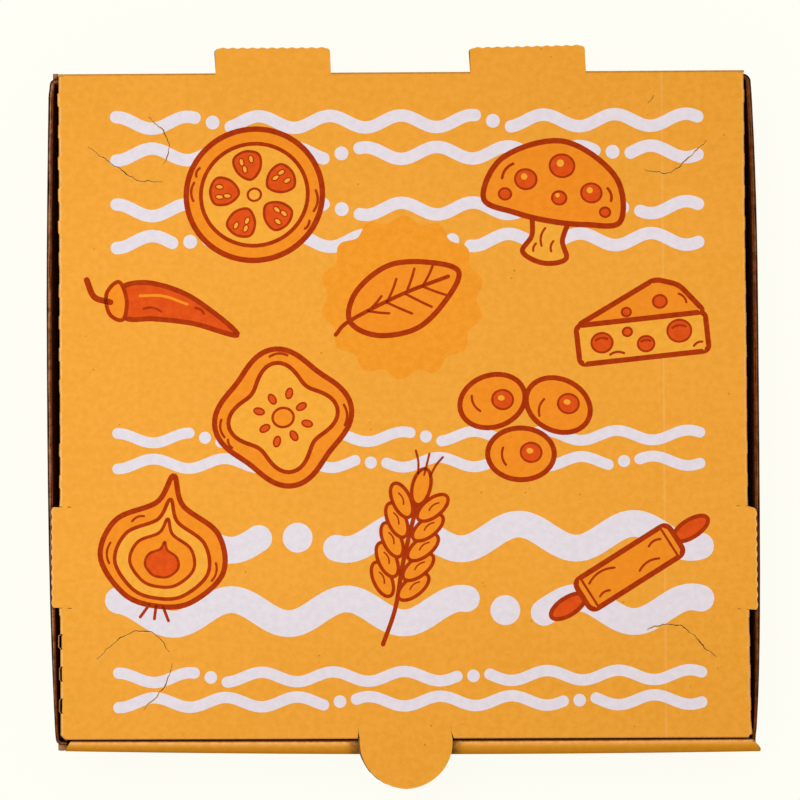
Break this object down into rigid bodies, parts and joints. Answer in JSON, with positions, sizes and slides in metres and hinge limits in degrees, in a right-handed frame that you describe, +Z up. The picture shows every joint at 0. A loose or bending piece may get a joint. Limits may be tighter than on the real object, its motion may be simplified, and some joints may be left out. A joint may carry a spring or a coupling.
{
  "type": "shut takeaway pizza box",
  "caption": "Shut square takeaway pizza box of printed orange corrugated board, with a round front tongue, side ears, rear tabs and a rolled front wall.",
  "frame": {"origin": "on the surface that the box stands on, under the middle of the whole box, tongue and tabs included", "axes": "+X to the right seen from the front, +Y from the tongue at the front to the tabs at the hinge side, +Z up out of the lid"},
  "size_m": [0.3104, 0.3226, 0.045],
  "materials": {
    "printed_board": "matte, flexo printed in flat orange yellow with a fine mottle",
    "raw_board": "uncoated brown board, cut edges and inner faces"
  },
  "bodies": {
    "root": {"base": "raw_board", "side_wall_left": "printed_board", "side_wall_right": "printed_board", "front_wall": "printed_board", "rear_wall": "printed_board", "lid": "printed_board"}
  },
  "joints": []
}
